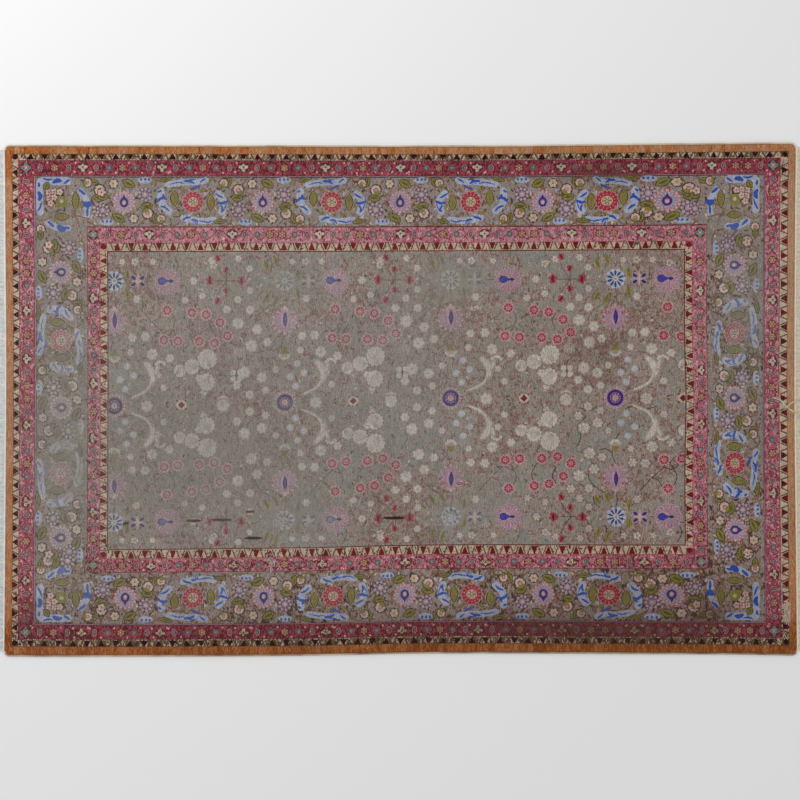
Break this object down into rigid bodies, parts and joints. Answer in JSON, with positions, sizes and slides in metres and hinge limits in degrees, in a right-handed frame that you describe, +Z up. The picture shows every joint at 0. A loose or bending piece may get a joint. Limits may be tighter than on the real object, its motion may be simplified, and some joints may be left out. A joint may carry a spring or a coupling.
{
  "type": "oriental rug",
  "caption": "Rectangular silk pile rug lying flat, with wrapped selvedges along both long sides and a fringe at each short end.",
  "frame": {"origin": "middle of the underside, on the floor", "axes": "+X along the long side, +Y across the rug, +Z up out of the pile"},
  "size_m": [2.01, 1.2326, 0.006],
  "materials": {
    "silk_pile": "short cut silk pile, worn and faded, soft sheen",
    "selvedge_yarn": "matt wrapped cream yarn",
    "fringe_yarn": "loosely twisted pale silk warps"
  },
  "bodies": {
    "root": {"rug_body": "silk_pile", "selvedge_far": "selvedge_yarn", "selvedge_near": "selvedge_yarn", "fringe_left": "fringe_yarn", "fringe_right": "fringe_yarn"}
  },
  "joints": []
}
